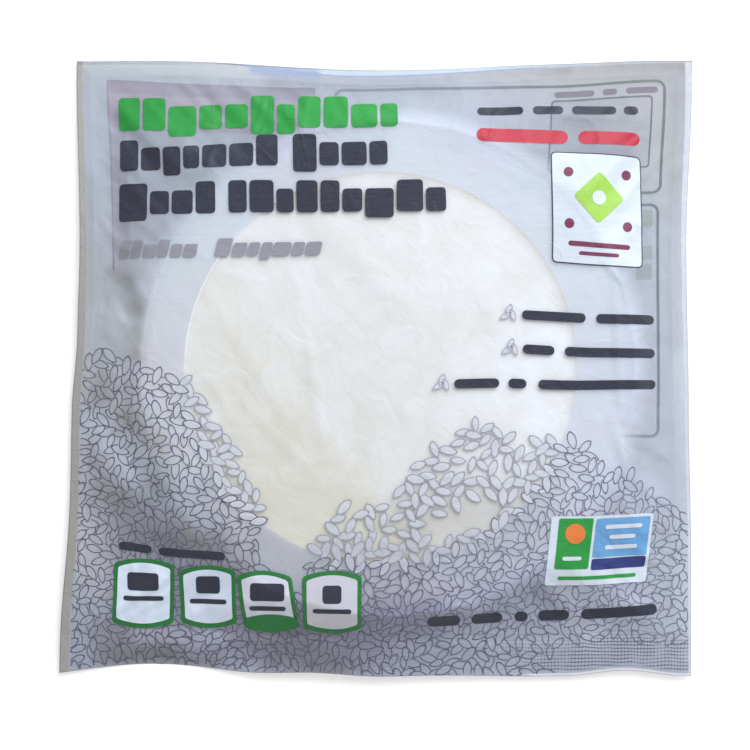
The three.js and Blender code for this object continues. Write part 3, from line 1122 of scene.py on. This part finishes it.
def in_gap(x, y):
    (middle_x, middle_y), reach, half, turn = HEAP_GAP
    spot = Vector((x - middle_x, y - middle_y))
    spot.rotate(Matrix.Rotation(-math.radians(turn), 2))
    return (spot.x / reach) ** 2 + (spot.y / half) ** 2 < 1


def under_grid(x, y):
    """Whether the grid of the bottom seal's right half has pressed the print away at a point."""
    ragged = PRESSED_BARE_RAGGED * patchy(x, y, 5, 4)
    return y < bottom_edge(x) + PRESSED_BARE and x > PRESSED_BARE_START + ragged


def on_ink(x, y):
    """Whether a point is on the frosted ground, and not in the bare strips along the edges."""
    left = x - left_edge(y) > BARE_LEFT - BARE_LEFT_TAPER * y
    right = right_edge(y) - x > BARE_RIGHT + BARE_RIGHT_TAPER * y
    foot = BARE_BOTTOM if x > BARE_BOTTOM_START else INK_MARGIN
    return left and right and y - bottom_edge(x) > foot


def scattered_grains():
    """The grains' middles, turns and lengths, no two closer than their spacing."""
    draw = random.Random(5)
    cells = {}
    grains = []
    for _ in range(GRAIN_TRIES):
        x = draw.uniform(-HALF_WIDTH, HALF_WIDTH)
        y = draw.uniform(-HALF_LENGTH, 10)
        ragged = HEAP_RAGGED * patchy(x, y, 4, 2)
        if not on_ink(x, y) or y > heap_top(x) + ragged or in_gap(x, y) or under_grid(x, y):
            continue
        home = (math.floor(x / GRAIN_LENGTH), math.floor(y / GRAIN_LENGTH))
        near = [spot for i in (-1, 0, 1) for j in (-1, 0, 1)
                for spot in cells.get((home[0] + i, home[1] + j), [])]
        in_window = (Vector((x, y)) - Vector(WINDOW)).length < WINDOW_RADIUS - 6
        spacing = GRAIN_SPACING_IN_WINDOW if in_window else GRAIN_SPACING
        if all(math.hypot(x - a, y - b) > spacing for a, b in near):
            cells.setdefault(home, []).append((x, y))
            grains.append((Vector((x, y)), draw.uniform(0, math.pi), draw.uniform(*GRAIN_SIZES)))
    return grains


def grain_shape(t, inset):
    """A point of a grain's outline: a lens, a little fuller towards one end."""
    x = math.cos(t)
    y = abs(math.sin(t)) ** GRAIN_TIP * math.copysign(1, math.sin(t)) * (1 + GRAIN_FULLER * x)
    return Vector((x * (GRAIN_LENGTH / 2 - GRAIN_TIP_INSET * inset), y * (GRAIN_WIDTH / 2 - inset)))


def covers(grain, point):
    """Whether a grain lies over a point."""
    middle, turn, size = grain
    spot = (point - middle) / size
    spot.rotate(Matrix.Rotation(-turn, 2))
    reach = abs(spot.x) / (GRAIN_LENGTH / 2)
    return reach < 1 and abs(spot.y) < GRAIN_WIDTH / 2 * (1 - reach**2) ** (GRAIN_TIP / 2)


def bullet_grains():
    """The three small grains before each of the lines at the right."""
    return [(Vector(at) + Vector(shift), turn, BULLET_SIZE)
            for at in BULLETS for turn, shift in BULLET_GRAINS]


def grain_ink(spot):
    """The colour of a grain's line: painted lighter over the window for the bright paper behind it, and
    darker towards the lower left as painted shade.
    """
    if (spot - Vector(WINDOW)).length < WINDOW_RADIUS:
        return GRAIN_INK_IN_WINDOW
    share = clamp((spot.x + 1.5 * spot.y + 120) / 80)
    return [lerp(low, high, share) for low, high in zip(GRAIN_INK_SHADED, GRAIN_INK)]


def grain_outline(bm, grain, over, ink):
    """Adds a grain's outline. Gives back its faces that later grains cover or that are off the ink."""
    middle, turn, size = grain
    made = bmesh.ops.create_grid(bm, x_segments=GRAIN_STEPS, y_segments=1, size=1)["verts"]
    for vert in made:
        spot = grain_shape(math.pi * vert.co.x, GRAIN_LINE * (1 - vert.co.y) / 2 / size) * size
        spot.rotate(Matrix.Rotation(turn, 2))
        vert.co = Vector((*(middle + spot), 0))
    stamp(bm, made, ink, 0)
    faces = [(face, face.calc_center_median().to_2d()) for face in {f for v in made for f in v.link_faces}]
    return [face for face, at in faces if not on_ink(*at) or any(covers(other, at) for other in over)]


def rice_grains(grains):
    bm = new_print()
    hidden = []
    for i, grain in enumerate(grains):
        over = [other for other in grains[i + 1:] if (other[0] - grain[0]).length < 1.1 * GRAIN_LENGTH]
        hidden += grain_outline(bm, grain, over, grain_ink(grain[0]))
    for grain in bullet_grains():
        grain_outline(bm, grain, [], BULLET_INK)
    bmesh.ops.delete(bm, geom=hidden, context="FACES")
    bmesh.ops.remove_doubles(bm, verts=bm.verts, dist=0.001)
    return bm


def grain_fills(grains):
    """The frosted bodies of the grains that lie over the window."""
    bm = bmesh.new()
    for i, (middle, turn, size) in enumerate(grains + bullet_grains()):
        if (middle - Vector(WINDOW)).length > WINDOW_RADIUS + 0.4 * GRAIN_LENGTH:
            continue
        made = bmesh.ops.create_circle(bm, cap_ends=True, segments=GRAIN_STEPS, radius=1)["verts"]
        for vert in made:
            spot = grain_shape(math.atan2(vert.co.y, vert.co.x), 0.5 * GRAIN_LINE) * size
            spot.rotate(Matrix.Rotation(turn, 2))
            vert.co = Vector((*(middle + spot), -0.4 + 0.3 * i / len(grains)))
    return bm


def drawn_in(spot):
    """Where a spot of the flat print gets to when the panel's edges are drawn in."""
    x, y = spot.x, spot.y
    left, right, top = clamp(-x / HALF_WIDTH), clamp(x / HALF_WIDTH), clamp(y / HALF_LENGTH)
    across = dip(LEFT_DIPS, y) * left - dip(RIGHT_DIPS, y) * right
    return spot + Vector((across, -dip(TOP_DIPS + PRINT_SAGS, x) * top, 0))


def frame_side(bm, ink, start, end, width):
    """Adds one straight line."""
    run = end - start
    turn = math.degrees(math.atan2(run.y, run.x))
    plate(bm, ink, (start + end) / 2, (run.length, width), width / 2, 2, turn)


def back_print():
    """The pink block, the frames and the pale blocks on the back, which show faintly through the front."""
    bm = new_print()
    plate(bm, PINK, (-51.8, 83.4), (65.2, 15.0), 1.0)
    plate(bm, ROSE, (-51.8, 89.0), (65.0, 3.4), 1.0, 1)
    plate(bm, PALE_PINK, (-82.0, 55.5), (4.6, 40.0), 1.0)
    plate(bm, BACK_GREY, (71.1, 74.8), (31.6, 22.6), 1.0)
    for y, height in ((47.5, 5.4), (36.6, 4.4), (30.4, 5.0)):
        plate(bm, BACK_OLIVE, (86.0, y), (4.8, height), 0.3)
    for start, end in zip(OPEN_FRAME, OPEN_FRAME[1:]):
        frame_side(bm, MAUVE, Vector(start), Vector(end), 0.45)
    frame_line(bm, SHADOW_GREEN, (39.0, 73.0), (104.2, 36.0), 3.0, 0.85)
    frame_line(bm, DARK, (71.1, 74.8), (32.0, 23.0), 1.2, 0.5)
    frame_line(bm, SHADOW_GREEN, (39.0, 15.2), (103.0, 73.8), 3.0, 0.85)
    bars(bm, MAUVE, [(56.0, 68.6), (71.2, 75.8), (78.6, 88.6)], 87.0, 1.9, 0.0, 0)
    for vert in bm.verts:
        vert.co = drawn_in(vert.co)
    return bm


def sheet(bm, level, rings, steps):
    """Adds one wrapper: a thin, slightly wavy disc with a soft edge."""
    radius = SHEET_RADIUS - SHEET_TRIM + SHEET_TRIM * noise.noise((level * 3.7, 0, 0))
    half = SHEET_THICKNESS / 2
    outline = [(radius * i / rings, half) for i in range(rings)]
    outline += [(radius - SHEET_EDGE, half), (radius, 0), (radius - SHEET_EDGE, -half)]
    outline += [(radius * i / rings, -half) for i in reversed(range(rings))]
    profile = [bm.verts.new((r, 0, z)) for r, z in outline]
    edges = [bm.edges.new(pair) for pair in zip(profile, profile[1:])]
    bmesh.ops.spin(bm, geom=profile + edges, axis=(0, 0, 1), cent=(0, 0, 0),
                   angle=2 * math.pi, steps=steps, use_merge=True)


def paper_disc(level, rings, steps):
    bm = bmesh.new()
    sheet(bm, level, rings, steps)
    bmesh.ops.remove_doubles(bm, verts=bm.verts, dist=1e-4)
    bmesh.ops.recalc_face_normals(bm, faces=bm.faces)
    slip = Vector((noise.noise((level * 5.3, 1, 0)), noise.noise((level * 5.3, 2, 0)), 0)) * SHEET_SLIP
    share = (level + 0.5) / SHEET_COUNT
    base = 2 * FILM + SHEET_PITCH * SHEET_COUNT * share
    for vert in bm.verts:
        vert.co += slip
        own = patchy(vert.co.x, vert.co.y, 24, level * 1.3)
        vert.co.x += STACK_X
        vert.co.z += base + share * sheet_ripple(vert.co.x, vert.co.y) + SHEET_WAVE * own
        vert.co.z += share**PAPER_FOLD_FADE * creased(vert.co.to_2d(), PAPER_FOLDS)
    return bm


def paper_stack():
    stack = bmesh.new()
    for level in range(SHEET_COUNT - 1):
        disc = paper_disc(level, 5, 96)
        mesh = bpy.data.meshes.new("disc")
        disc.to_mesh(mesh)
        disc.free()
        stack.from_mesh(mesh)
        bpy.data.meshes.remove(mesh)
    return stack


def dress(name, bm, finish):
    piece = shown_object(name, bm, finish)
    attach(piece, "root")
    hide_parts("wrapper_pouch")


def make_floor():
    bm = bmesh.new()
    bmesh.ops.create_grid(bm, x_segments=1, y_segments=1, size=3 / MM)
    finish = Finish("pale_floor")
    tone = finish.blend(finish.mottle(finish.place(), 60), (250, 250, 251), (253, 253, 253))
    glow = finish.done(Base_Color=tone, Roughness=0.8, Specular_IOR_Level=0.5,
                       Emission_Color=(1, 1, 1, 1), Emission_Strength=0.2)
    floor = shown_object("floor", bm, glow)


def make_lights():
    """Soft light from all round, and a large lamp at the upper right."""
    world = bpy.data.worlds.new("studio")
    world.use_nodes = True
    around = world.node_tree.nodes["Background"].inputs
    around["Color"].default_value = (1.0, 0.985, 0.965, 1)
    around["Strength"].default_value = 0.62
    bpy.context.scene.world = world
    key = bpy.data.lights.new("key", "AREA")
    key.shape = "DISK"
    key.size = 0.9
    key.energy = 9.2
    key.color = (0.92, 0.96, 1.0)
    lamp = bpy.data.objects.new("key", key)
    turn, rise, away = math.radians(58), math.radians(40), 0.9
    reach = away * math.cos(rise)
    lamp.location = Vector((math.cos(turn) * reach, math.sin(turn) * reach, math.sin(rise) * away))
    lamp.rotation_euler = (-Vector(lamp.location)).to_track_quat("-Z", "Y").to_euler()
    bpy.context.scene.collection.objects.link(lamp)


def make_camera():
    """Straight above, a little below the pouch's middle."""
    distance = 0.70
    seal_height_there = 0.004
    view_width = 0.23565
    camera = bpy.data.cameras.new("camera")
    camera.sensor_width = 36
    camera.lens = 36 * (distance - seal_height_there) / view_width
    rig = bpy.data.objects.new("camera", camera)
    rig.location = (0, -0.00204, distance)
    bpy.context.scene.collection.objects.link(rig)
    bpy.context.scene.camera = rig


make_camera()
make_lights()
make_floor()

front, front_surface = film_panel(True)
back, back_surface = film_panel(False)
dress("film_front", front, frosted_film())
dress("film_back", back, back_film_finish())
dress("paper_stack", paper_stack(), rice_paper("rice_paper", 0.3))
dress("top_paper", paper_disc(SHEET_COUNT - 1, 60, 260), rice_paper("top_rice_paper", 1.0))

ink = printed_ink()
grains = scattered_grains()
front_print = {
    "printed_lines": headings_and_lines(),
    "maker_panel": maker_panel(),
    "approval_panel": approval_panel(),
    "nutrition_badges": badges(),
    "rice_grains": rice_grains(grains),
}
for name, shapes in front_print.items():
    dress(name, lay(shapes, front_surface), ink)
dress("grain_fills", lay(grain_fills(grains), front_surface), frosted_grain())
dress("back_print", lay(back_print(), back_surface, INK_LIFT_BACK), ink)

bpy.context.scene.view_settings.view_transform = "Standard"
